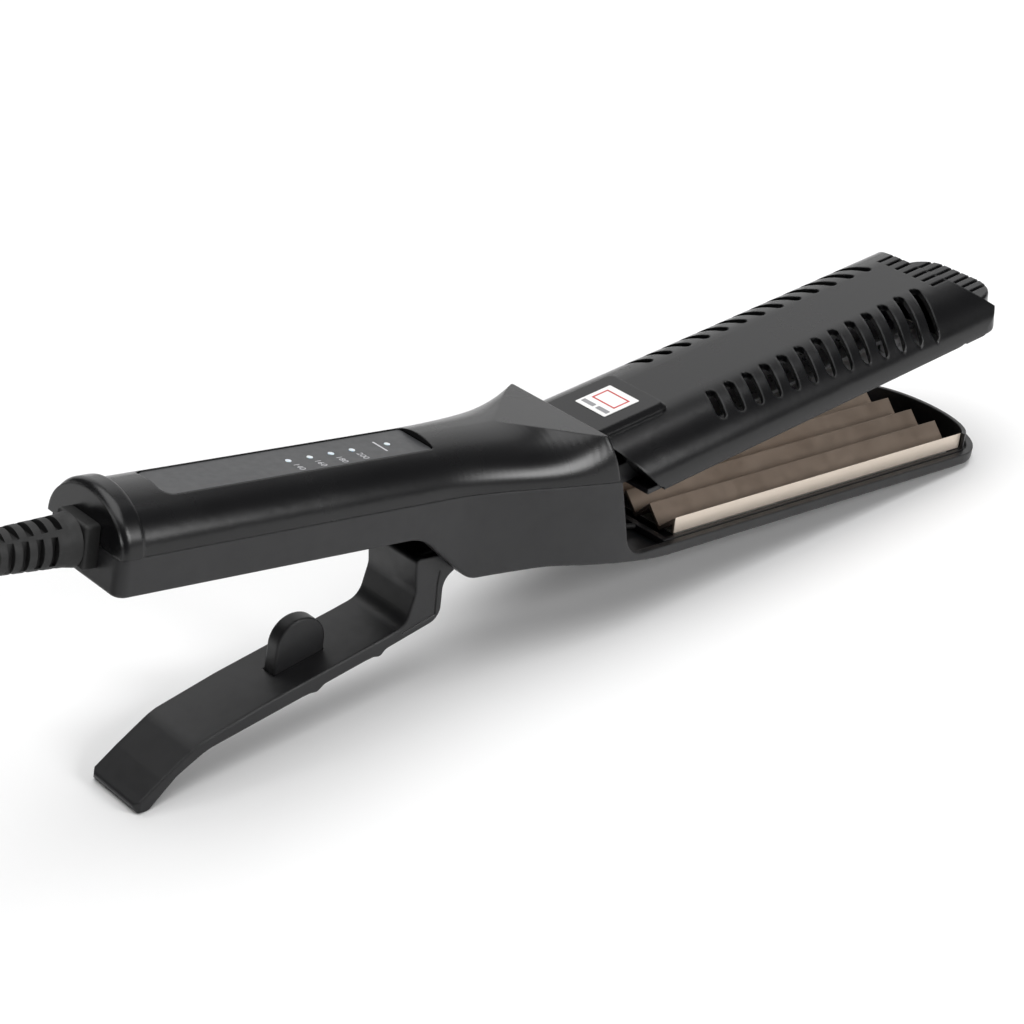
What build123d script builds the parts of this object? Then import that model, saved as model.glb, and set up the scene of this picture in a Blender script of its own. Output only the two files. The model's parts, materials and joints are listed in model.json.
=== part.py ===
"""Hair crimper: a lever-operated scissor iron with two corrugated hot plates.

Most pieces are drawn in the handle frame: origin at the rear bottom centre of the handle,
X towards the jaws, Y to the left, Z up. Jaw pieces are drawn in the jaw frame, which starts
at the pivot pin, with X along the plates. At the end every piece is turned to the way the
crimper lies on a table, standing on the tail of its lever and the tip of its lower jaw.
"""

from build123d import *
import math
import os

# Driving dimensions, in millimetres and degrees. Names in _X, _Z are places in the handle
# frame, names in _W are heights in a jaw frame.

# Housing: two shells that meet at a fine seam, with a flare towards the jaws
WALL = 2.0
HANDLE_HALF = 15.25
JAW_HALF = 23.6
FLARE_START = 96.0
FLARE_END = 158.0
PARTING_Z = 10.0
SEAM_Z = PARTING_Z - 0.15
DOME_RISE = 11.5
FACET_Z = 21.6
JAW_TIP_X = 307.3
TIP_DEPTH = 15.5

# Pivot, the jaws' tilt in the handle frame, and the way the tool lies on a table
PIVOT_X = 108.4
PIVOT_Z = 2.0
PIN_RADIUS = 2.0
PIN_HALF = 14.3
JAW_TILT = 4.07
OPEN_ANGLE = 9.4
REST_TILT = 11.2416
REST_LIFT = 65.0475
REST_SHIFT = -130.674

# Corrugated plates and the lower jaw's tray
PLATE_REAR = 67.1
LOWER_PLATE_LENGTH = 117.3
UPPER_PLATE_LENGTH = 108.5
RIDGE_PITCH = 9.34
RIDGE_HEIGHT = 4.9
RIDGE_TOP_W = -13.04
MESH_GAP = 0.62
SHEET = 1.3
FLANGE = 0.9
RIM_W = -18.05
TRAY_W = -21.45
FLOOR_W = -19.95

# Vented cover of the upper jaw
COVER_HALF = 24.0
COVER_FRONT = 188.2
COVER_TOP_W = 4.5
COVER_SPRING_W = -7.8
LIP_W = -9.2
BEZEL_W = -10.7
SLOT_COUNT = 13
SLOT_PITCH = 6.96
GROOVE_COUNT = 7
GROOVE_PITCH = 3.4

# Control panel and lever
PANEL_Z = 20.0
PANEL_REAR = 16.3
PANEL_FRONT = 96.8
PANEL_HALF = 6.7
LED_X = (56.8, 63.3, 69.8, 76.3, 87.4)
LEVER_HALF = 10.0
FIN_HALF = 2.2

# Cord and strain relief
CORD_RADIUS = 3.25
BOOT_Z = 9.6
BOOT_TIP = -46.0

pivot = Location((PIVOT_X, 0, PIVOT_Z))
jaw_closed = pivot * Rotation(0, -JAW_TILT, 0)
arm_open = pivot * Rotation(0, -JAW_TILT - OPEN_ANGLE, 0)
at_rest = Location((REST_SHIFT, 0, REST_LIFT)) * Rotation(0, REST_TILT, 0)


def outline(corners, plane=Plane.XY):
    """Face with straight sides through (a, b, radius) corners, each rounded by its radius."""
    path = FilletPolyline([(a, b) for a, b, _ in corners], radius=[r for _, _, r in corners], close=True)
    return plane * make_face(path.edges())


def side_slab(corners, half_width, offset=0.0):
    """Solid with an X-Z outline, as wide as half_width each side of y = offset."""
    slab = extrude(outline(corners, Plane.XZ), half_width, both=True)
    return Pos(0, offset, 0) * slab


def block(x_span, y_span, z_span):
    """Box between two coordinates on each axis."""
    sizes = [b - a for a, b in (x_span, y_span, z_span)]
    middle = [(a + b) / 2 for a, b in (x_span, y_span, z_span)]
    return Pos(*middle) * Box(*sizes)


def upright(x, y, z_span, radius):
    """Vertical cylinder."""
    return Pos(x, y, z_span[0]) * Cylinder(
        radius, z_span[1] - z_span[0], align=(Align.CENTER, Align.CENTER, Align.MIN)
    )


def crosswise(x, z, y_span, radius):
    """Cylinder along Y."""
    turned = Pos(x, y_span[0], z) * Rotation(-90, 0, 0)
    return turned * Cylinder(radius, y_span[1] - y_span[0], align=(Align.CENTER, Align.CENTER, Align.MIN))


def lengthwise(x_span, y, z, radius):
    """Cylinder along X."""
    turned = Pos(x_span[0], y, z) * Rotation(0, 90, 0)
    return turned * Cylinder(radius, x_span[1] - x_span[0], align=(Align.CENTER, Align.CENTER, Align.MIN))


def jaw_z(x, w):
    """Height in the handle frame of the jaw-frame plane w, at x."""
    tilt = math.radians(JAW_TILT)
    return PIVOT_Z + (w + math.sin(tilt) * (x - PIVOT_X)) / math.cos(tilt)


# Housing

def half_width(x):
    """Half width of the housing: the handle's, flaring smoothly to the jaw's."""
    t = min(max((x - FLARE_START) / (FLARE_END - FLARE_START), 0), 1)
    return HANDLE_HALF + (JAW_HALF - HANDLE_HALF) * t * t * (3 - 2 * t)


def dome_rise(x):
    """Height of the dome's crown above the parting plane."""
    return DOME_RISE + 10.8 * max((x - 112) / 34, 0) ** 4


def flare_stations(end, steps):
    """Evenly spaced places along the flare."""
    return [FLARE_START + (end - FLARE_START) * i / steps for i in range(steps + 1)]


def body_plan(inset, corner):
    """Plan outline of the whole body, drawn in by inset."""
    rear, side = inset, HANDLE_HALF - inset
    jaw, tip = JAW_HALF - inset, JAW_TIP_X - TIP_DEPTH
    turn = corner * (1 - math.sqrt(0.5))
    flare = [(x, half_width(x) - inset) for x in flare_stations(FLARE_END, 10)]
    left = [
        ThreePointArc((rear, side - corner), (rear + turn, side - turn), (rear + corner, side)),
        Line((rear + corner, side), flare[0]),
        Spline(flare, tangents=[(1, 0), (1, 0)]),
        Line(flare[-1], (tip, jaw)),
        EllipticalCenterArc((tip, 0), TIP_DEPTH - inset, jaw, start_angle=0, arc_size=90),
    ]
    right = [edge.mirror(Plane.XZ) for edge in left]
    rear_edge = Line((rear, corner - side), (rear, side - corner))
    return make_face([*left, *right, rear_edge])


def dome_section(x, inset):
    """Upper half of an ellipse across the housing at x, above the parting plane."""
    a, b = half_width(x) - inset, dome_rise(x) - inset
    half = Ellipse(a, b) & Rectangle(2 * a + 2, b + 2, align=(Align.CENTER, Align.MIN))
    return Plane.YZ.offset(x) * Pos(0, PARTING_Z) * half


def shoulder(inset, slab):
    """Flare from the handle's dome to the mouth, within a side-view slab."""
    sections = [dome_section(x, inset) for x in flare_stations(152, 28)]
    return loft(sections, ruled=True) & slab


def mouth_x(z):
    """Front edge of the shoulder, leaning forward towards the bottom."""
    return 145.7 + 0.308 * (FACET_Z - z)


def rounded_mouth(flare):
    """The shoulder with the rim of its mouth rounded."""
    rim = [edge for edge in flare.edges() if edge.center().Z > PARTING_Z + 0.05
           and abs(edge.center().X - mouth_x(edge.center().Z)) < 0.02]
    return fillet(rim, 1.0)


def housing_screw_places():
    """Centre, head height and boss height of each long housing screw."""
    places = ((9.0, 8.4, 3.0, 16.5), (128.0, 15.0, -1.0, 14.6))
    return [(x, sign * y, head, top) for x, y, head, top in places for sign in (-1, 1)]


def upper_housing():
    """Domed top shell of the handle and shoulder."""
    collar = extrude(Plane.YZ * Pos(0, PARTING_Z) * (
        Ellipse(15.75, 12.9) & Rectangle(40, 20, align=(Align.CENTER, Align.MIN))), 6.6)
    arcs = collar.edges().filter_by(GeomType.ELLIPSE).sort_by(Axis.X)
    collar = fillet(arcs[0], 2.2)
    collar = fillet(collar.edges().filter_by(GeomType.ELLIPSE).sort_by(Axis.X)[-1], 1.1)
    keep = side_slab([(-5, 5, 0), (mouth_x(5), 5, 0), (mouth_x(FACET_Z), FACET_Z, 0),
                      (104, FACET_Z, 0), (104, 30, 0), (-5, 30, 0)], 40)
    hollow = side_slab([(-5, 5, 0), (-5, 17.6, 0), (100, 17.6, 0), (103, 19.5, 0),
                        (170, 19.5, 0), (170, 5, 0)], 40)
    handle = extrude(dome_section(0, 0), FLARE_START)
    bore = extrude(dome_section(WALL, WALL), FLARE_START) & hollow
    shell = handle + rounded_mouth(shoulder(0, keep)) + collar - bore - shoulder(WALL, hollow)
    for x, y, _, top in housing_screw_places():
        shell += upright(x, y, (PARTING_Z + 0.1, top), 2.9)
        shell -= upright(x, y, (PARTING_Z - 1, top - 1.5), 1.25)
    pocket = extrude(panel_outline(0.25), 10)
    shell -= Pos(0, 0, PANEL_Z - 0.8) * pocket
    shell -= lengthwise((-1, 3), 0, BOOT_Z, 4.3)
    for x in LED_X:
        shell -= upright(x, 0, (17, 20), 0.85)
    return shell - block((-1, 170), (-40, 40), (0, PARTING_Z))


def panel_outline(gap):
    """Plan of the control panel, grown by gap."""
    rear, front, side = PANEL_REAR - gap, PANEL_FRONT + gap, PANEL_HALF + gap
    return outline([(rear, -side, 3.2), (front, -side, 1.2), (front, side, 1.2), (rear, side, 3.2)])


def control_panel():
    """Thin panel in the dome's pocket, with a hole over each lamp."""
    panel = extrude(panel_outline(0), 0.75)
    panel = Pos(0, 0, PANEL_Z - 0.78) * panel
    for x in LED_X:
        panel -= upright(x, 0, (18, 21), 0.85)
    return panel


def light_pipes():
    """Clear rods that carry the indicator light through the panel."""
    rods = [upright(x, 0, (15.9, PANEL_Z + 0.08), 0.8) for x in LED_X]
    return Compound(rods)


def lower_side(corner_x):
    """Side outline of the lower housing: handle floor, belly and jaw tray."""
    return [
        (0, SEAM_Z, 0),
        (0, 0, 0),
        (90.5, 0, 12),
        (107.8, -14.0, 6.5),
        (131, -12.6, 60),
        (168, jaw_z(168, TRAY_W), 60),
        (corner_x, jaw_z(corner_x, TRAY_W), 0),
        (corner_x, jaw_z(corner_x, RIM_W), 0),
        (mouth_x(-12.6), jaw_z(mouth_x(-12.6), RIM_W), 7),
        (mouth_x(SEAM_Z), SEAM_Z, 0),
    ]


def lower_cavity():
    """Space inside the lower housing, open at the top and at the mouth."""
    side = side_slab([(WALL, 40, 0), (WALL, WALL, 1), (89.5, WALL, 8), (106.4, -11.6, 4), (131, -10.6, 60),
                      (170, jaw_z(170, FLOOR_W), 60), (320, jaw_z(320, FLOOR_W), 0), (320, 40, 0)], 30)
    return side & (Pos(0, 0, -30) * extrude(body_plan(WALL, 1.5), 80))


def rim_of(faces):
    """Edges on the outside of a patch of faces."""
    every = [edge for face in faces for edge in face.edges()]
    return [edge for edge in every if every.count(edge) == 1]


def lower_housing():
    """Bottom shell of the handle, belly and lower jaw tray in one moulding."""
    outer = side_slab(lower_side(320), 30) & (Pos(0, 0, -30) * extrude(body_plan(0, 3), 60))
    underside = [face for face in outer.faces() if face.normal_at(face.center()).Z < -0.3]
    outer = fillet(rim_of(underside), 1.0)
    cavity = lower_cavity()
    shell = outer - cavity
    shell -= block((83, 117), (-11.6, 11.6), (-20, 5))
    for sign in (-1, 1):
        shell += crosswise(PIVOT_X, PIVOT_Z, sorted((sign * 13.0, sign * 15.0)), 4.5)
        shell -= crosswise(PIVOT_X, PIVOT_Z, sorted((sign * 12.0, sign * 14.4)), PIN_RADIUS + 0.03)
    for x, y, head, _ in housing_screw_places():
        shell += upright(x, y, (-20, SEAM_Z - 0.1), 3.4) & outer
        shell -= upright(x, y, (-20, head), 2.5)
        shell -= upright(x, y, (-20, 20), 1.6)
    shell -= lengthwise((-1, 3), 0, BOOT_Z, 4.3)
    return shell


def housing_screws():
    """Long self-tapping screws that hold the two housing halves together."""
    screws = []
    for x, y, head, top in housing_screw_places():
        screw = upright(x, y, (head - 1.6, head), 2.4) + upright(x, y, (head, top - 2), 1.2)
        slot = Pos(x, y, head - 1.6) * (Box(3.2, 0.6, 1.4) + Box(0.6, 3.2, 1.4))
        screws.append(screw - slot)
    return Compound(screws)


# Lower jaw

def corrugated_sheet(ridge_line, away, flange, length):
    """Corrugated plate.

    ridge_line is the height of the working face's ridges; the sheet's thickness and its side
    flanges lie below that face where away is -1, and above it where away is 1.
    """
    half_pitch = RIDGE_PITCH / 2
    zigzag = [(i * half_pitch, ridge_line - RIDGE_HEIGHT * (i % 2)) for i in range(-3, 4)]
    side, lip = 4 * half_pitch + FLANGE, 4 * half_pitch
    edge = ridge_line + away * flange
    turn = ridge_line - FLANGE + away * SHEET
    face = [(-side, edge), (-side, ridge_line), *zigzag, (side, ridge_line), (side, edge)]
    back = [(y, z + away * SHEET) for y, z in reversed(zigzag)]
    points = [*face, (lip, edge), (lip, turn), *back, (-lip, turn), (-lip, edge)]
    profile = Plane.YZ * make_face(Polyline(points, close=True).edges())
    return Pos(PLATE_REAR, 0, 0) * extrude(profile, length)


def lower_plate():
    """Corrugated hot plate with its side flanges turned down."""
    return corrugated_sheet(RIDGE_TOP_W, -1, 4.7, LOWER_PLATE_LENGTH)


def upper_plate():
    """Matching plate, whose valleys fit between the lower ridges; its flanges turn up."""
    return corrugated_sheet(RIDGE_TOP_W + MESH_GAP, 1, 4.4, UPPER_PLATE_LENGTH)


def jaw_plan(rear, centre, depth, side):
    """Plan of a jaw: straight sides at y = +-side and an elliptical front."""
    return make_face([
        Line((rear, side), (centre, side)),
        EllipticalCenterArc((centre, 0), depth, side, start_angle=-90, arc_size=180),
        Line((centre, -side), (rear, -side)),
        Line((rear, -side), (rear, side)),
    ])


def jaw_ring(rear, centre, depth, side, thick, low, high):
    """Wall that runs along both sides of a plate and round its front."""
    inner = jaw_plan(rear - 1, centre, depth - thick, side - thick)
    return Pos(0, 0, low) * extrude(jaw_plan(rear, centre, depth, side) - inner, high - low)


def lower_plate_carrier():
    """Heat-proof frame round the lower plate, with a raised curved front wall."""
    ring = jaw_ring(62, 183.2, 9.6, 21.2, 1.3, -19.8, RIDGE_TOP_W - 0.1)
    trim = side_slab([(40, -17.9, 0), (184.6, -17.9, 0), (185.2, 0, 0), (40, 0, 0)], 30)
    bar = block((62, 64), (-20.5, 20.5), (-19.8, -17.95))
    return ring - trim + bar


def insulator(rear, front, half, low, thick):
    """Mica sheet."""
    return block((rear, front), (-half, half), (low, low + thick))


def heater_bars():
    """Three ceramic heater bars, one in the space under each inner ridge."""
    bars = [Pos(0, n * RIDGE_PITCH, 0) * block((72, 180), (-2, 2), (-19.3, -17.4)) for n in (-1, 0, 1)]
    return Compound(bars)


# Upper jaw

def cover_section(inset):
    """Cross-section of the vented cover: flat crown, elliptical shoulders, upright lip."""
    crown = COVER_TOP_W - inset
    rise, reach = crown - COVER_SPRING_W, COVER_HALF - inset - 8
    shape = Rectangle(16, rise, align=(Align.CENTER, Align.MIN))
    for sign in (-1, 1):
        shape += Pos(8 * sign, 0) * Ellipse(reach, rise)
    shape += Rectangle(2 * (COVER_HALF - inset), 6, align=(Align.CENTER, Align.MAX))
    shape &= Pos(0, LIP_W - COVER_SPRING_W) * Rectangle(60, 40, align=(Align.CENTER, Align.MIN))
    return Plane.YZ * Pos(0, COVER_SPRING_W) * shape


def cover_side(inset):
    """Side outline of the cover: slanted rear, slanted front."""
    rear, front = inset * 1.3, -inset * 1.3
    top = COVER_TOP_W - inset + 1
    bottom = LIP_W - inset
    corner = [(43.6 + rear, top, 0), (55.1 + rear, bottom, 5 if inset == 0 else 3)]
    tip = COVER_FRONT - inset
    nose = [(tip, bottom, 4.2 - inset), (tip, -3.2, 1), (178.2 + front, top, 0)]
    return corner + nose


def cover_plan(inset):
    """Upright prism with the cover's rounded front corners in plan."""
    front, side, corner = COVER_FRONT - inset, COVER_HALF - inset, 4 - inset
    corners = [(30, -side - 1, 0), (front - 1.5 * corner, -side - 0.1, 0), (front, 0.6 - side, corner)]
    corners += [(x, -y, r) for x, y, r in reversed(corners)]
    return Pos(0, 0, -20) * extrude(outline(corners), 40)


def label_pad():
    """Raised pad on the rear of the cover's crown."""
    plan = outline([(36, -11.6, 0), (69.4, -11.6, 3), (69.4, 11.6, 3), (36, 11.6, 0)])
    pad = Pos(0, 0, 3.4) * extrude(plan, 3.1)
    edges = pad.edges().group_by(Axis.Z)[-1].filter_by(lambda edge: edge.center().X > 36.5)
    pad = chamfer(edges, 1.2, 1.5)
    return pad & side_slab([(41.6, 7, 0), (46, 2, 0), (75, 2, 0), (75, 7, 0)], 20)


def vent_slots():
    """Two rows of slanted vents that grow longer towards the tip."""
    cuts = []
    for i in range(SLOT_COUNT):
        t = i / (SLOT_COUNT - 1)
        top = Vector(83.5 + SLOT_PITCH * i, 12.4 - 3.0 * t)
        lean, length = 2.2 + 3.0 * t, 6.0 + 6.4 * t
        bottom = Vector(top.X - lean, top.Y + length)
        middle, along = (top + bottom) / 2, top - bottom
        angle = math.degrees(math.atan2(along.Y, along.X))
        slot = Pos(middle.X, middle.Y) * Rotation(0, 0, angle) * SlotCenterToCenter(along.length, 3.0)
        cut = Pos(0, 0, -8.5) * extrude(slot, 16)
        cuts += [cut, cut.mirror(Plane.XZ)]
    return cuts


def finger_tab():
    """Rounded tab ahead of the cover that stays cool enough to hold."""
    plan = outline([(180, -15.5, 0), (198.6, -15.5, 9.5), (198.6, 15.5, 9.5), (180, 15.5, 0)])
    tab = Pos(0, 0, -7.0) * extrude(plan, 3.4)
    return fillet(tab.edges().group_by(Axis.Z)[-1].filter_by(lambda edge: edge.center().X > 181), 1.0)


def upper_jaw_cover():
    """Vented top cover of the upper jaw, with label pad and ribbed finger tab."""
    outer = extrude(cover_section(0), 200) & side_slab(cover_side(0), 30) & cover_plan(0)
    hollow = extrude(cover_section(WALL), 200) & side_slab(cover_side(WALL), 30) & cover_plan(WALL)
    cover = outer + label_pad() + finger_tab() - hollow - block((40, 60), (-15.4, 15.4), (-10, 1.6))
    for cut in vent_slots():
        cover -= cut
    for n in range(GROOVE_COUNT):
        y = (n - (GROOVE_COUNT - 1) / 2) * GROOVE_PITCH
        cover -= block((173.2, 184), (y - 0.6, y + 0.6), (3.4, 6))
        cover -= block((183.5, 200), (y - 0.6, y + 0.6), (-4.4, -3.0))
    return cover


def upper_jaw_base():
    """Frame under the cover: it carries the upper plate and takes the lever's arm."""
    bezel = jaw_ring(57, 172.5, 13.0, 22.6, 2.85, BEZEL_W, LIP_W - 0.05)
    spigot = jaw_ring(60, 172.5, 12.0, 21.6, 0.9, LIP_W - 0.05, -7.0)
    floor = block((52, 65), (-21.5, 21.5), (BEZEL_W, -9.25))
    land = outline([(175.9, -22.6, 0), (187.2, -22.6, 4.5), (187.2, 22.6, 4.5), (175.9, 22.6, 0)])
    base = bezel + spigot + floor + Pos(0, 0, BEZEL_W) * extrude(land, 1.3)
    base -= block((66, 175.8), (-19.75, 19.75), (-12, -5))
    for y in (-9, 9):
        base -= upright(57, y, (-12, -5), 1.45)
        base -= upright(57, y, (-12, -9.95), 2.6)
    return base


def heat_spreader():
    """Aluminium bar that presses the upper heater against the plate."""
    return block((72, 172), (-17.5, 17.5), (-10.9, -9.3))


def upper_heater():
    """Ceramic heater on the spreader."""
    return block((82, 170), (-7, 7), (-9.25, -7.4))


def heater_clamp():
    """Bridge that holds the upper heater on its spreader."""
    bridge = block((84, 168), (-10, 10), (-7.3, -6.3))
    for x in (96, 126, 156):
        bridge += block((x - 3, x + 3), (-12, -10), (-9.2, -6.3))
        bridge += block((x - 3, x + 3), (10, 12), (-9.2, -6.3))
    return bridge


def warning_label():
    """Adhesive label on the pad."""
    plan = outline([(-6.3, -5.8, 0.4), (6.3, -5.8, 0.4), (6.3, 5.8, 0.4), (-6.3, 5.8, 0.4)])
    return Pos(57.2, 0, 6.5) * extrude(plan, 0.12)


# Lever and pivot

LEVER_OUTLINE = [
    (16.0, -60.6, 0.9), (23.0, -54.6, 10), (32.4, -47.2, 14), (50.8, -40.6, 40), (86.7, -29.5, 0),
    (94.0, -27.1, 5.5), (95.8, -18.0, 6), (94.3, -9.2, 1), (100.5, -7.4, 0), (103.0, -2.0, 4),
    (103.0, 6.0, 0), (113.5, 6.0, 0), (113.5, -3.4, 5), (108.3, -11.4, 0), (108.8, -13.0, 1),
    (104.6, -16.0, 5), (105.4, -26.9, 4.5), (88.6, -32.6, 3), (87.1, -34.4, 1.6), (84.8, -34.2, 2.5),
    (82.6, -34.7, 3), (70.0, -38.6, 3), (68.0, -40.4, 1.6), (65.8, -40.4, 2.5), (63.6, -40.9, 3),
    (35.6, -49.4, 20), (27.4, -54.8, 12), (20.2, -62.4, 2.2), (17.2, -62.6, 0.9),
]


def neck_groove():
    """Shallow groove along the front edge of the neck, on both sides."""
    line = Polyline((102.7, -13.0), (102.5, -16.8), (103.3, -25.4), (93.0, -29.0))
    cut = extrude(Plane.XZ * trace(line, 0.5), 30, both=True)
    return cut - block((80, 120), (0.3 - LEVER_HALF, LEVER_HALF - 0.3), (-40, 0))


def lever_grip():
    """Tail, grip and neck of the lever, up to the pivot hub."""
    grip = side_slab(LEVER_OUTLINE, LEVER_HALF)
    waist = block((90, 120), (-20, -8.2), (-8.6, 10)) + block((90, 120), (8.2, 20), (-8.6, 10))
    rims = grip.edges().filter_by(
        lambda edge: edge.center().Z < -10 and abs(abs(edge.center().Y) - LEVER_HALF) < 0.01
    )
    grip = fillet(rims, 0.5) - waist - neck_groove()
    plan = outline([(15.9, -11, 4.5), (200, -11, 0), (200, 11, 0), (15.9, 11, 4.5)])
    return grip & (Pos(0, 0, -80) * extrude(plan, 100))


def squeeze_lever():
    """Lever, neck, hub and the arm that reaches into the upper jaw, in one moulding."""
    lever = lever_grip()
    hub = crosswise(PIVOT_X, PIVOT_Z, (-12.0, 12.0), 5.6)
    arm = block((3, 42), (-9, 9), (-5.0, 1.0)) + block((40, 64), (-15, 15), (-8.9, -3.0))
    arm += side_slab([(34, -5, 0), (40, -8.9, 0), (46, -8.9, 0), (46, 1, 4), (34, 1, 0)], 9)
    lever = lever + hub + arm_open * arm
    lever -= crosswise(PIVOT_X, PIVOT_Z, (-20, 20), PIN_RADIUS + 0.04)
    lever -= crosswise(PIVOT_X, PIVOT_Z, (-4.2, 4.2), 7.5)
    for y in (-9, 9):
        lever -= arm_open * upright(57, y, (-9.5, -4.5), 1.15)
    lever -= side_slab([(59.6, -39.6, 0), (59.6, -30, 0), (74.6, -30, 0), (74.6, -34.7, 0)], FIN_HALF + 0.1)
    return lever


def stop_fin():
    """Half-round fin that stands in a slot on the lever."""
    corners = [(59.7, -38.6, 0), (59.7, -23.3, 7.2), (74.5, -23.3, 7.2), (74.5, -33.8, 0)]
    blade = side_slab(corners, FIN_HALF)
    rims = blade.edges().filter_by(
        lambda edge: edge.center().Z > -33 and abs(abs(edge.center().Y) - FIN_HALF) < 0.01
    )
    return fillet(rims, 0.5)


def jaw_screws():
    """Screws that hold the upper jaw's frame on the lever's arm."""
    screws = []
    for y in (-9, 9):
        screw = upright(57, y, (-10.6, -9.95), 2.4) + upright(57, y, (-9.95, -5.0), 1.1)
        screws.append(screw)
    return Compound(screws)


def pivot_pin():
    """Pin through both walls of the housing and the lever's hub."""
    return crosswise(PIVOT_X, PIVOT_Z, (-PIN_HALF, PIN_HALF), PIN_RADIUS)


def pivot_washers():
    """Plain washers on the pin between the housing and the lever's hub."""
    bore = crosswise(PIVOT_X, PIVOT_Z, (-20, 20), PIN_RADIUS + 0.03)
    spans = ((-12.9, -12.1), (12.1, 12.9))
    return Compound([crosswise(PIVOT_X, PIVOT_Z, span, 4.4) - bore for span in spans])


def opening_spring():
    """Torsion spring coiled round the pivot pin between the two ears of the hub."""
    wire, coil_radius, pitch, turns = 0.55, 3.3, 1.25, 5
    helix = Helix(pitch, pitch * turns, coil_radius)
    coil = sweep(Plane(origin=helix @ 0, z_dir=helix % 0) * Circle(wire), path=helix)
    return Pos(PIVOT_X, -pitch * turns / 2, PIVOT_Z) * Rotation(-90, 0, 0) * coil


# Inside the handle

def circuit_board():
    """Board that hangs under the panel."""
    return block((14, 92), (-10.4, 10.4), (13.2, 14.8))


def board_parts():
    """Indicator lamps, touch key, controller chip, triac and mains capacitor on the board."""
    parts = [block((x - 0.9, x + 0.9), (-0.9, 0.9), (14.85, 15.85)) for x in LED_X]
    parts.append(block((32, 38), (-3, 3), (14.85, 16.9)))
    parts.append(block((46, 54), (-3.5, 3.5), (11.6, 13.15)))
    parts.append(block((62, 72), (-5, 5), (8.6, 13.15)))
    parts.append(lengthwise((24, 40), -4, 8.2, 4.9))
    return Compound(parts)


def cord_clamp():
    """Clamp that grips the cord inside the handle."""
    clamp = block((5, 11), (-4.7, 4.7), (2.05, 14.0))
    return clamp - lengthwise((0, 20), 0, BOOT_Z, CORD_RADIUS + 0.03)


def mains_leads():
    """Two insulated wires from the cord clamp to the board."""
    leads = []
    for y in (-1.6, 1.6):
        out = 4 * y
        path = FilletPolyline((11.6, y, BOOT_Z), (15, y, BOOT_Z), (21, out, 9.5), (21, out, 13.1),
                              radius=1.4)
        leads.append(sweep(Plane(origin=path @ 0, z_dir=path % 0) * Circle(0.8), path=path))
    return Compound(leads)


def heater_leads():
    """Insulated wires from the board past the hub to the lower heater."""
    leads = []
    for y in (-10, 10):
        path = FilletPolyline((88, y, 13.1), (88, y, 9.4), (122, y, 9.4), (139, y, -6), (153, y, -9.4),
                              (171, y, -11.9), radius=[2, 6, 6, 8])
        leads.append(sweep(Plane(origin=path @ 0, z_dir=path % 0) * Circle(0.7), path=path))
    return Compound(leads)


# Cord

def cord_boot():
    """Strain relief: square flange, plain collar and a tapered run of slotted rings."""
    flange = block((-4.0, -0.02), (-6.3, 6.3), (BOOT_Z - 5.6, BOOT_Z + 5.6))
    flange = fillet(flange.edges().filter_by(Axis.X) + flange.faces().sort_by(Axis.X)[0].edges(), 1.0)
    sides = [(-4.2, 0), (-4.2, 6.6), (-7.0, 6.1), (BOOT_TIP, 4.3), (BOOT_TIP, 0)]
    core = revolve(Plane.XZ * make_face(Polyline(sides, close=True).edges()), Axis.X)
    boot = flange + Pos(0, 0, BOOT_Z) * core + lengthwise((-5, 4.5), 0, BOOT_Z, 4.1)
    ring, gap, count = 2.0, 1.7, 9
    for i in range(count):
        front = -8.4 - i * (ring + gap)
        for turn in (0, 90):
            start = front - turn / 90 * (ring + gap) / 2
            for side in (-1, 1):
                cut = block((start - gap, start), (-3.6, 3.6), sorted((side * 3.9, side * 9)))
                boot -= Pos(0, 0, BOOT_Z) * Rotation(turn, 0, 0) * cut
    boot -= lengthwise((-60, 10), 0, BOOT_Z, CORD_RADIUS + 0.02)
    return boot


CORD_FLOOR = CORD_RADIUS + 0.05
COIL_CENTRE = (-213.2, 18.0)
COIL_INNER = 27.3
COIL_OUTER = 38.7
COIL_HEIGHT = 8 * CORD_RADIUS + 0.1
CORD_ROUTE = [
    (-173.92, 0, 83.43),
    (-197.42, 0, 88.1),
    (-223.1, -5.5, 80.2),
    (-242.2, -15.0, 61.5),
    (-247.2, -19.5, 36.5),
    (-251.7, -7.0, 14.5),
    (-251.9, 16.0, CORD_FLOOR),
    (-251.7, 33.0, CORD_FLOOR),
]
TAIL_ROUTE = [
    (-251.9, 0.5, 22.8),
    (-251.9, 20.5, 23.2),
    (-241.9, 37.8, 27.5),
    (-224.6, 47.8, 32.6),
    (-204.6, 47.8, 33.2),
]


def cord_tube(points):
    """Round tube along straight runs with the largest tangent arcs that fit at each corner."""
    spots = [Vector(p) for p in points]
    radii = []
    for before, here, after in zip(spots, spots[1:], spots[2:]):
        arriving, leaving = here - before, after - here
        turn = math.radians(arriving.get_angle(leaving))
        radii.append(0.45 * min(arriving.length, leaving.length) / math.tan(turn / 2))
    path = FilletPolyline(*spots, radius=radii)
    tube = sweep(Plane(origin=path @ 0, z_dir=path % 0) * Circle(CORD_RADIUS), path=path)
    section = math.pi * CORD_RADIUS ** 2
    print("cord radii", [round(r, 1) for r in radii], "length", round(path.length, 1),
          "volume / (section x length)", round(tube.volume / (section * path.length), 4))
    return tube


def cord_coil():
    """Outer shape of the wound length of cord, two layers high."""
    ring = Cylinder(COIL_OUTER + CORD_RADIUS, COIL_HEIGHT) - Cylinder(COIL_INNER - CORD_RADIUS, 40)
    ring = fillet(ring.edges().filter_by(GeomType.CIRCLE), 2.5)
    return Pos(*COIL_CENTRE, COIL_HEIGHT / 2) * ring


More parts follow.
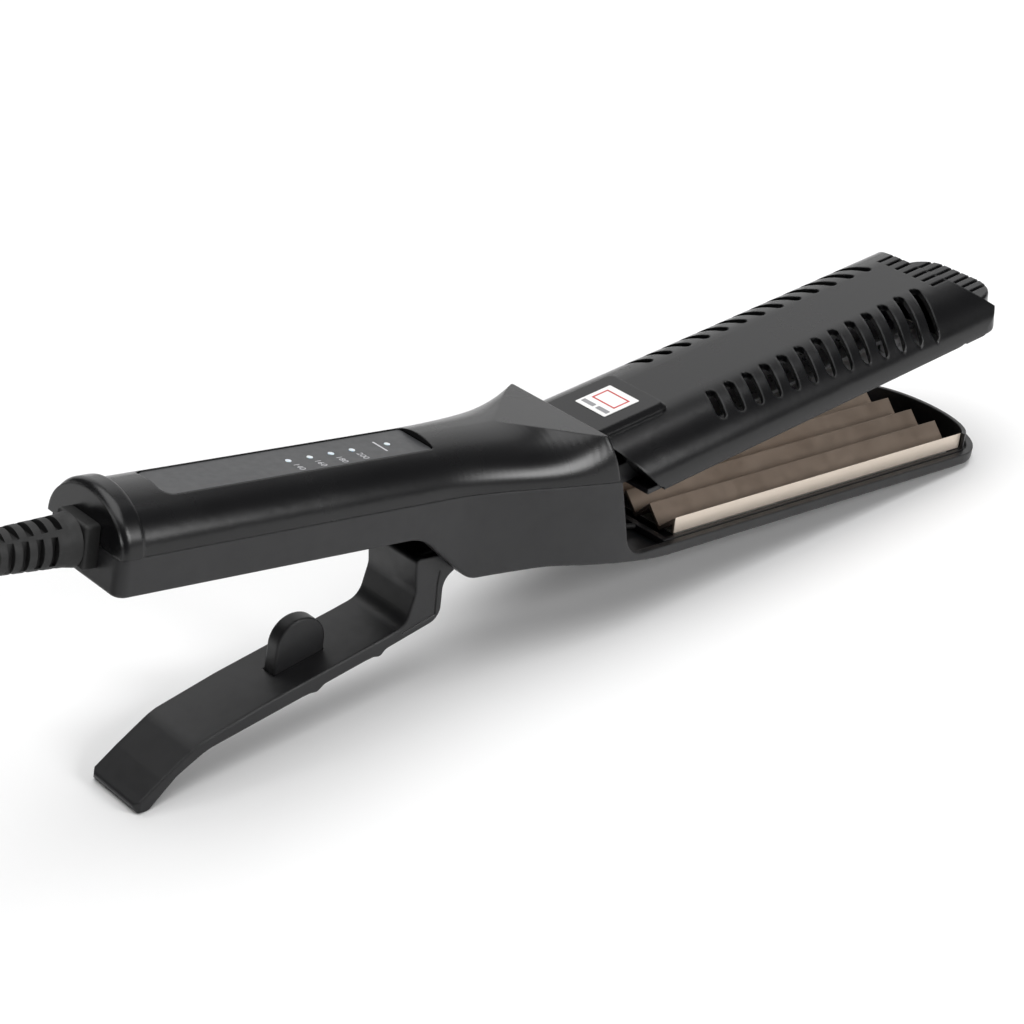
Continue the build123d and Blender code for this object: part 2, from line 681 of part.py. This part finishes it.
def plug_body():
    """Flat two-pin mains plug with its cable sleeve."""
    body = block((10, 34), (-12.8, 12.8), (-6.8, 6.8))
    body = chamfer(body.edges().filter_by(Axis.Z).sort_by(Axis.X)[:2], 5, 7)
    body = fillet(body.edges(), 1.6)
    sleeve = Pos(5.5, 0, 0) * Rotation(0, 90, 0) * Cone(4.4, 5.8, 11)
    body += sleeve
    for y in (-9.3, 9.3):
        body -= lengthwise((28, 40), y, 0, 2.02)
    return Pos(*TAIL_ROUTE[-1]) * body


def plug_pins():
    """Two round contact pins."""
    pins = []
    for y in (-9.3, 9.3):
        pin = lengthwise((28.1, 53), y, 0, 2.0)
        pins.append(fillet(pin.edges().sort_by(Axis.X)[-1], 0.8))
    return Pos(*TAIL_ROUTE[-1]) * Compound(pins)


def cord_entry():
    """Straight end of the cord through the strain relief and into the clamp."""
    return lengthwise((BOOT_TIP, 11.5), 0, BOOT_Z, CORD_RADIUS)


in_handle_frame = {
    "upper_housing": upper_housing(),
    "lower_housing": lower_housing(),
    "housing_screws": housing_screws(),
    "control_panel": control_panel(),
    "indicator_light_pipes": light_pipes(),
    "circuit_board": circuit_board(),
    "board_components": board_parts(),
    "cord_clamp": cord_clamp(),
    "mains_leads": mains_leads(),
    "heater_leads": heater_leads(),
    "cord_boot": cord_boot(),
    "cord_entry": cord_entry(),
    "pivot_pin": pivot_pin(),
    "pivot_washers": pivot_washers(),
    "opening_spring": opening_spring(),
    "squeeze_lever": squeeze_lever(),
    "lever_fin": stop_fin(),
}
in_lower_jaw_frame = {
    "lower_plate_carrier": lower_plate_carrier(),
    "lower_crimping_plate": lower_plate(),
    "lower_heater_bars": heater_bars(),
    "lower_mica_sheet": insulator(70, 182, 17.5, FLOOR_W + 0.05, 0.5),
}
in_upper_jaw_frame = {
    "upper_jaw_base": upper_jaw_base(),
    "upper_jaw_cover": upper_jaw_cover(),
    "upper_crimping_plate": upper_plate(),
    "heat_spreader": heat_spreader(),
    "upper_heater": upper_heater(),
    "heater_clamp": heater_clamp(),
    "jaw_screws": jaw_screws(),
    "warning_label": warning_label(),
}
on_the_table = {
    "mains_cord": cord_tube(CORD_ROUTE),
    "mains_cord_coil": cord_coil(),
    "mains_cord_tail": cord_tube(TAIL_ROUTE),
    "plug_body": plug_body(),
    "plug_pins": plug_pins(),
}

nodes = dict(on_the_table)
for name, shape in in_handle_frame.items():
    nodes[name] = at_rest * shape
for name, shape in in_lower_jaw_frame.items():
    nodes[name] = at_rest * jaw_closed * shape
for name, shape in in_upper_jaw_frame.items():
    nodes[name] = at_rest * arm_open * shape

os.makedirs("parts", exist_ok=True)
for name, shape in nodes.items():
    export_step(shape, f"parts/{name}.step")
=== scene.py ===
"""Studio scene of a hair crimper: materials, fine surface pieces, cord, light and camera.

Surface pieces and the cord are drawn in millimetres; their meshes and curves are in metres.
The camera stands on the cord side, 41 degrees round from the side view and 30 degrees up.
"""

import bpy
import json
import math
from mathutils import Matrix, Vector


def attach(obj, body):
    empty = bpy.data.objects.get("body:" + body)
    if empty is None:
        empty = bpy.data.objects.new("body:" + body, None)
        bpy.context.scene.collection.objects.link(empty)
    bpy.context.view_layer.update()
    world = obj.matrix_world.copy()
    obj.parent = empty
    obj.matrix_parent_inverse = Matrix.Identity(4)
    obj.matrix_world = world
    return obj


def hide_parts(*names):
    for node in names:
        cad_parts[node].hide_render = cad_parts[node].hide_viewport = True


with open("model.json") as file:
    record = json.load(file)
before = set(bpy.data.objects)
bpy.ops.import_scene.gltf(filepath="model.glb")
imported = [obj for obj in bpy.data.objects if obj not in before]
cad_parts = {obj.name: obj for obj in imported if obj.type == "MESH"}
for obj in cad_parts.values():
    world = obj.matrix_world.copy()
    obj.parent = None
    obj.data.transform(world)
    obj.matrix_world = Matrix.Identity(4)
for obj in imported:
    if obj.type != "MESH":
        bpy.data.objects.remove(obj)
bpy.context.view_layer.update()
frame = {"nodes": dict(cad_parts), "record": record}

nodes = frame["nodes"]
record = frame["record"]
MM = 0.001

# The handle has its own frame, placed on the table as in the CAD. The arm's frame starts at the
# pivot, tilted by the jaw's own slope and by the angle that it stands open at rest.
REST_TILT = math.radians(11.2416)
REST_MOVE = Vector((-130.674, 0.0, 65.0475))
PIVOT = Vector((108.4, 0.0, 2.0))
JAW_TILT = 4.07
OPEN_ANGLE = 9.4
handle_frame = Matrix.Translation(REST_MOVE) @ Matrix.Rotation(REST_TILT, 4, "Y")
arm_turn = Matrix.Rotation(-math.radians(JAW_TILT + OPEN_ANGLE), 4, "Y")
arm_frame = handle_frame @ Matrix.Translation(PIVOT) @ arm_turn

# Shares of a noise texture's range that reach the two ends of a drift
NOISE_SPAN = (0.3, 0.7)
TINT_SPAN = (0.35, 0.65)
BEVEL_SAMPLES = 4

# The coated plates: a face whose normal is this close to sideways is an upright flange, painted
# pale as a painted reflection of the bright floor
FLANGE_FACING = 0.97
# Pale flange colour: painted reflection of the white floor on the sideways faces
FLANGE_PAINTED_REFLECTION = (0.78, 0.68, 0.58, 1.0)


# Materials

def new_material(name, colour, roughness, **inputs):
    """Principled material with plain socket values; further inputs are given by socket name."""
    material = bpy.data.materials.new(name)
    material.use_nodes = True
    shader = material.node_tree.nodes["Principled BSDF"]
    shader.inputs["Base Color"].default_value = (*colour, 1.0)
    shader.inputs["Roughness"].default_value = roughness
    for key, value in inputs.items():
        shader.inputs[key.replace("_", " ")].default_value = value
    return material


def add(material, kind, **settings):
    """Adds a node and sets its properties and inputs."""
    node = material.node_tree.nodes.new(kind)
    for key, value in settings.items():
        if key in node.inputs:
            node.inputs[key].default_value = value
        else:
            setattr(node, key, value)
    return node


def link(material, a, output, b, target):
    """Joins an output of node a to an input of node b."""
    material.node_tree.links.new(a.outputs[output], b.inputs[target])


def noise(material, scale, detail=3.0):
    """Noise in the object's own coordinates, at a scale per metre."""
    place = add(material, "ShaderNodeTexCoord")
    texture = add(material, "ShaderNodeTexNoise", Scale=scale, Detail=detail)
    link(material, place, "Object", texture, "Vector")
    return texture


def vary(material, socket, low, high, scale):
    """Lets a shader socket drift between two values, at a scale per metre."""
    shader = material.node_tree.nodes["Principled BSDF"]
    texture = noise(material, scale)
    span = add(material, "ShaderNodeMapRange")
    span.inputs["From Min"].default_value = NOISE_SPAN[0]
    span.inputs["From Max"].default_value = NOISE_SPAN[1]
    span.inputs["To Min"].default_value = low
    span.inputs["To Max"].default_value = high
    link(material, texture, "Fac", span, "Value")
    link(material, span, "Result", shader, socket)


def tint(material, dark, light, scale):
    """Base colour that drifts between two close tones."""
    shader = material.node_tree.nodes["Principled BSDF"]
    texture = noise(material, scale, detail=4.0)
    ramp = add(material, "ShaderNodeValToRGB")
    for stop, position, tone in zip(ramp.color_ramp.elements, TINT_SPAN, (dark, light)):
        stop.position = position
        stop.color = (*tone, 1.0)
    link(material, texture, "Fac", ramp, "Fac")
    link(material, ramp, "Color", shader, "Base Color")


def surface(material, edge, grain_scale=0.0, strength=0.0, depth=0.00002):
    """Rounds edges in shading by edge metres, and adds a fine grain where strength is not 0."""
    shader = material.node_tree.nodes["Principled BSDF"]
    rounding = add(material, "ShaderNodeBevel", samples=BEVEL_SAMPLES, Radius=edge)
    if strength == 0.0:
        link(material, rounding, "Normal", shader, "Normal")
        return
    texture = noise(material, grain_scale)
    bump = add(material, "ShaderNodeBump", Strength=strength, Distance=depth)
    link(material, texture, "Fac", bump, "Height")
    link(material, rounding, "Normal", bump, "Normal")
    link(material, bump, "Normal", shader, "Normal")


def black_gloss():
    """Glossy black plastic of the upper shells."""
    material = new_material("black_gloss", (0.003, 0.003, 0.0035), 0.27, Specular_IOR_Level=0.4)
    tint(material, (0.0025, 0.0025, 0.003), (0.0035, 0.0035, 0.004), 60)
    vary(material, "Roughness", 0.25, 0.28, 60)
    surface(material, 0.0008, 1800, 0.08)
    return material


def dark_grey():
    """Satin dark plastic of the lower shell, the lever and the jaw's base."""
    material = new_material("dark_grey", (0.008, 0.008, 0.009), 0.4, Specular_IOR_Level=0.45)
    tint(material, (0.0065, 0.0065, 0.0075), (0.0095, 0.0095, 0.0105), 90)
    vary(material, "Roughness", 0.37, 0.46, 300)
    surface(material, 0.0008, 2600, 0.2)
    return material


def panel_grey():
    """Lighter matt plastic of the control panel."""
    material = new_material("panel_grey", (0.035, 0.036, 0.038), 0.4)
    tint(material, (0.033, 0.034, 0.036), (0.037, 0.038, 0.04), 150)
    vary(material, "Roughness", 0.38, 0.46, 500)
    surface(material, 0.0002, 3000, 0.12)
    return material


def coated_plate():
    """Bronze coating on the folds; the upright side flanges are painted pale, a painted
    reflection of the floor.
    """
    material = new_material("coated_plate", (0.3, 0.24, 0.19), 0.4, Metallic=0.5)
    tint(material, (0.27, 0.21, 0.165), (0.31, 0.245, 0.195), 70)
    shader = material.node_tree.nodes["Principled BSDF"]
    coating = shader.inputs["Base Color"].links[0].from_node
    facing = add(material, "ShaderNodeNewGeometry")
    across = add(material, "ShaderNodeSeparateXYZ")
    upright = add(material, "ShaderNodeMath", operation="ABSOLUTE")
    reflecting_face = add(material, "ShaderNodeMath", operation="GREATER_THAN")
    reflecting_face.inputs[1].default_value = FLANGE_FACING
    # Faces turned sideways take the pale colour, a painted reflection rather than a colour of
    # their own
    mix = add(material, "ShaderNodeMix", data_type="RGBA")
    share, colour_a, colour_b, colour_result = 0, 6, 7, 2
    mix.inputs[colour_b].default_value = FLANGE_PAINTED_REFLECTION
    link(material, facing, "True Normal", across, "Vector")
    link(material, across, "Y", upright, 0)
    link(material, upright, "Value", reflecting_face, 0)
    link(material, reflecting_face, "Value", mix, share)
    link(material, coating, "Color", mix, colour_a)
    link(material, mix, colour_result, shader, "Base Color")
    vary(material, "Roughness", 0.34, 0.46, 260)
    surface(material, 0.0003, 2200, 0.15)
    return material


def rubber(name, tone):
    """Matt rubber of one grey tone."""
    material = new_material(name, (tone, tone, tone * 1.05), 0.6)
    tint(material, (tone * 0.85,) * 3, (tone * 1.1,) * 3, 110)
    vary(material, "Roughness", 0.55, 0.68, 400)
    surface(material, 0.0003, 2400, 0.2)
    return material


def metal(name, colour, roughness):
    """Bare metal with slightly uneven gloss."""
    material = new_material(name, colour, roughness, Metallic=1.0)
    vary(material, "Roughness", roughness * 0.8, roughness * 1.3, 500)
    surface(material, 0.00015, 1500, 0.08)
    return material


def plain(name, colour, roughness):
    """Even coating, paper or print that drifts a little darker."""
    material = new_material(name, colour, roughness)
    tint(material, tuple(c * 0.93 for c in colour), colour, 200)
    surface(material, 0.00015, 1500, 0.06)
    return material


def lamp_white():
    """Milky plastic of the lamps."""
    material = new_material("lamp_white", (0.8, 0.8, 0.8), 0.35, Subsurface_Weight=0.3)
    tint(material, (0.74, 0.75, 0.76), (0.85, 0.85, 0.85), 900)
    return material


materials = {
    "black_shell": black_gloss(),
    "grey_shell": dark_grey(),
    "panel_grey": panel_grey(),
    "clear_plastic": lamp_white(),
    "board_green": plain("board_green", (0.02, 0.1, 0.035), 0.4),
    "component_black": plain("component_black", (0.02, 0.02, 0.02), 0.5),
    "cord_rubber": rubber("cord_rubber", 0.006),
    "boot_rubber": rubber("boot_rubber", 0.005),
    "steel": metal("steel", (0.55, 0.55, 0.56), 0.3),
    "plate_bronze": coated_plate(),
    "ceramic_white": plain("ceramic_white", (0.7, 0.68, 0.63), 0.5),
    "nickel": metal("nickel", (0.66, 0.65, 0.62), 0.18),
    "aluminium": metal("aluminium", (0.7, 0.7, 0.71), 0.35),
    "label_white": plain("label_white", (0.82, 0.82, 0.81), 0.45),
}
label_red = plain("label_red", (0.55, 0.03, 0.03), 0.45)
label_grey = plain("label_grey", (0.25, 0.25, 0.26), 0.45)
print_grey = plain("print_grey", (0.5, 0.5, 0.52), 0.5)


def paint_nodes():
    """Gives every CAD node the material of its slot in the record."""
    for part in record["subparts"]:
        mesh = nodes[part["node"]].data
        mesh.materials.clear()
        mesh.materials.append(materials[part["material_slot"]])


# Pieces added to the CAD nodes

def piece(name, vertices, faces, material, body, place):
    """Mesh object from points in millimetres in the frame place, riding on a body."""
    mesh = bpy.data.meshes.new(name)
    mesh.from_pydata([(place @ Vector(v)) * MM for v in vertices], [], faces)
    mesh.materials.append(material)
    made = bpy.data.objects.new(name, mesh)
    bpy.context.scene.collection.objects.link(made)
    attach(made, body)
    return made


def prism(outline, low, high):
    """Vertices and faces of an upright prism over a plan outline."""
    count = len(outline)
    vertices = [(x, y, z) for z in (low, high) for x, y in outline]
    sides = [(i, (i + 1) % count, (i + 1) % count + count, i + count) for i in range(count)]
    return vertices, [tuple(reversed(range(count))), tuple(range(count, 2 * count)), *sides]


def rounded_plan(x0, x1, y0, y1, radius, steps=6):
    """Plan of a rectangle with rounded corners, each in so many steps."""
    corners = ((x1 - radius, y1 - radius, 0), (x0 + radius, y1 - radius, 90),
               (x0 + radius, y0 + radius, 180), (x1 - radius, y0 + radius, 270))
    plan = []
    for x, y, start in corners:
        for i in range(steps + 1):
            angle = math.radians(start + 90 * i / steps)
            plan.append((x + radius * math.cos(angle), y + radius * math.sin(angle)))
    return plan


def frame_strip(a, b, thick):
    """Plan of a straight strip on the left of the line from a to b, ending thick short of b."""
    along = (Vector(b) - Vector(a)).normalized()
    side = Vector((-along.y, along.x)) * thick
    end = Vector(b) - along * thick
    return [tuple(a), tuple(end), tuple(end + side), tuple(Vector(a) + side)]


def label_marks():
    """A plain empty frame over two bars, and no wording or sign."""
    label_top, sunk, proud, strip = 6.62, 0.02, 0.03, 0.5
    corners = ((55.6, -4.4), (61.4, -4.4), (61.4, 4.4), (55.6, 4.4))
    bars = ((52.3, 53.8, -5.0, -0.6), (52.3, 53.8, 0.4, 5.0))
    marks = [(frame_strip(corners[i], corners[(i + 1) % 4], strip), label_red) for i in range(4)]
    marks += [(rounded_plan(*bar, 0.2), label_grey) for bar in bars]
    for count, (plan, material) in enumerate(marks):
        vertices, faces = prism(plan, label_top - sunk, label_top + proud)
        made = piece(f"label_mark_{count}", vertices, faces, material, "arm", arm_frame)


def plate_end_wall():
    """Front wall of the upper jaw's base, which follows the folds on the back of its plate."""
    rear, front = 173.4, 175.8
    fold, valley, crest, top, side = 4.67, -15.95, -11.05, -9.35, 18.5
    foot = crest - 0.9
    folds = [(i * fold, valley if i % 2 else crest) for i in range(-3, 4)]
    section = [(-side, top), (-side, foot), *folds, (side, foot), (side, top)]
    vertices, faces = prism(section, rear, front)
    turned = [(x, y, z) for y, z, x in vertices]
    made = piece("plate_end_wall", turned, faces, materials["grey_shell"], "arm", arm_frame)


def panel_numbers():
    """Heat settings printed beside the lamps, and a bar behind the front lamp."""
    panel_top, thickness, row = 19.99, 0.015, -3.9
    for number, x in zip(("140", "160", "180", "200"), (57.2, 63.7, 70.2, 76.7)):
        words = bpy.data.curves.new(f"setting_{number}", "FONT")
        words.body = number
        words.size = 2.5 * MM
        words.extrude = thickness * MM
        words.align_x = "CENTER"
        words.align_y = "CENTER"
        words.materials.append(print_grey)
        made = bpy.data.objects.new(f"setting_{number}", words)
        bpy.context.scene.collection.objects.link(made)
        turn = Matrix.Rotation(math.radians(-90), 4, "Z")
        spot = handle_frame @ Matrix.Translation((x, row, panel_top))
        spot.translation *= MM
        made.matrix_world = spot @ turn
        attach(made, "handle")
    bar = rounded_plan(84.4, 85.0, -3.6, 2.4, 0.2)
    vertices, faces = prism(bar, panel_top, panel_top + thickness)
    made = piece("power_bar", vertices, faces, print_grey, "handle", handle_frame)


# Cord

CORD_DIAMETER = 6.5
CORD_FLOOR = CORD_DIAMETER / 2 + 0.05

# Control points from the strain relief to the coil, and from the coil to the plug on top of it
CORD_ROUTE = [
    (-173.92, 0, 83.43),
    (-197.42, 0, 88.1),
    (-223.1, -5.5, 80.2),
    (-242.2, -15.0, 61.5),
    (-247.2, -19.5, 36.5),
    (-251.7, -7.0, 14.5),
    (-251.9, 16.0, CORD_FLOOR),
]
TAIL_ROUTE = [
    (-251.9, 20.5, 23.2),
    (-241.9, 37.8, 27.5),
    (-224.6, 47.8, 32.6),
    (-204.6, 47.8, 33.2),
]
COIL_CENTRE = Vector((-213.2, 18.0))
COIL_INNER = 27.3
COIL_OUTER = 38.7
COIL_TURNS = 7
COIL_LAYERS = 4
POINTS_PER_TURN = 16
CLIMB_START = 0.86
# A control point stands a little outside the turn that it draws
BULGE = 1 / math.cos(math.pi / POINTS_PER_TURN) ** 0.5


def coil_points():
    """Turns that wind in and out in layers, each one diameter above the last.

    The cord climbs to the next layer in the last share of each layer, after CLIMB_START.
    """
    points = []
    total = COIL_TURNS * POINTS_PER_TURN
    for i in range(1, total):
        t = i / total
        angle = math.pi + 2 * math.pi * COIL_TURNS * t
        along = t * COIL_LAYERS
        layer = min(int(along), COIL_LAYERS - 1)
        part = along - layer
        inward = part if layer % 2 == 0 else 1 - part
        radius = (COIL_OUTER + (COIL_INNER - COIL_OUTER) * inward) * BULGE
        climb = 0.0
        if layer < COIL_LAYERS - 1:
            climb = min(max((part - CLIMB_START) / (1 - CLIMB_START), 0.0), 1.0)
        points.append((
            COIL_CENTRE.x + radius * math.cos(angle),
            COIL_CENTRE.y - radius * math.sin(angle),
            CORD_FLOOR + CORD_DIAMETER * (layer + climb),
        ))
    return points


def mains_cord():
    """The whole cord as one smooth tube from the strain relief to the plug."""
    curve = bpy.data.curves.new("cord_line", "CURVE")
    curve.dimensions = "3D"
    curve.bevel_depth = CORD_DIAMETER / 2 * MM
    curve.bevel_resolution = 6
    curve.resolution_u = 6
    curve.use_fill_caps = True
    points = CORD_ROUTE + coil_points() + TAIL_ROUTE
    spline = curve.splines.new("NURBS")
    spline.points.add(len(points) - 1)
    for point, (x, y, z) in zip(spline.points, points):
        point.co = (x * MM, y * MM, z * MM, 1.0)
    spline.order_u = 3
    spline.use_endpoint_u = True
    curve.materials.append(materials["cord_rubber"])
    made = bpy.data.objects.new("cord_line", curve)
    bpy.context.scene.collection.objects.link(made)
    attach(made, "handle")
    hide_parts("mains_cord", "mains_cord_coil", "mains_cord_tail")


# Stage, light and camera

def floor():
    """Large white sheet under the object."""
    mesh = bpy.data.meshes.new("floor")
    half = 6.0
    corners = [(-half, -half, 0), (half, -half, 0), (half, half, 0), (-half, half, 0)]
    mesh.from_pydata(corners, [], [(0, 1, 2, 3)])
    mesh.materials.append(new_material("paper", (0.9, 0.9, 0.9), 0.8, Specular_IOR_Level=0.0))
    made = bpy.data.objects.new("floor", mesh)
    bpy.context.scene.collection.objects.link(made)


def soft_box(name, place, target, size, power):
    """Rectangular area light that faces a point."""
    light = bpy.data.lights.new(name, "AREA")
    light.shape = "RECTANGLE"
    light.size, light.size_y = size
    light.energy = power
    made = bpy.data.objects.new(name, light)
    made.location = place
    made.rotation_euler = (Vector(target) - Vector(place)).to_track_quat("-Z", "Y").to_euler()
    bpy.context.scene.collection.objects.link(made)


def lights():
    """Dim white surroundings, and three soft boxes: above, behind and beside the jaws."""
    world = bpy.data.worlds.new("studio")
    world.use_nodes = True
    background = world.node_tree.nodes["Background"]
    background.inputs["Color"].default_value = (1.0, 1.0, 1.0, 1.0)
    background.inputs["Strength"].default_value = 0.12
    bpy.context.scene.world = world
    soft_box("overhead", (-0.1, 0.1, 1.5), (0, 0, 0), (1.8, 1.8), 29)
    soft_box("backdrop", (1.3, 1.5, 0.9), (0, 0, 0.1), (3.0, 1.6), 14)
    soft_box("side", (0.5, -1.08, 0.62), (0.02, 0, 0.06), (0.34, 0.5), 8)


def camera():
    """Long lens on the cord side, aimed at the middle of the tool and 33 mm above the table."""
    azimuth, elevation, roll = map(math.radians, (40.78, 30.29, 0.556))
    distance, aim = 0.7112, Vector((0.0, 0.0, 0.03285))
    level = math.cos(elevation)
    away = Vector((-math.sin(azimuth) * level, -math.cos(azimuth) * level, math.sin(elevation)))
    lens = bpy.data.cameras.new("camera")
    lens.lens = 95.31
    lens.sensor_width = 36
    lens.clip_start = 0.01
    made = bpy.data.objects.new("camera", lens)
    turned = (-away).to_track_quat("-Z", "Y").to_matrix().to_4x4() @ Matrix.Rotation(roll, 4, "Z")
    made.matrix_world = Matrix.Translation(aim + away * distance) @ turned
    bpy.context.scene.collection.objects.link(made)
    bpy.context.scene.camera = made


paint_nodes()
mains_cord()
label_marks()
plate_end_wall()
panel_numbers()
floor()
lights()
camera()
bpy.context.scene.view_settings.view_transform = "Standard"
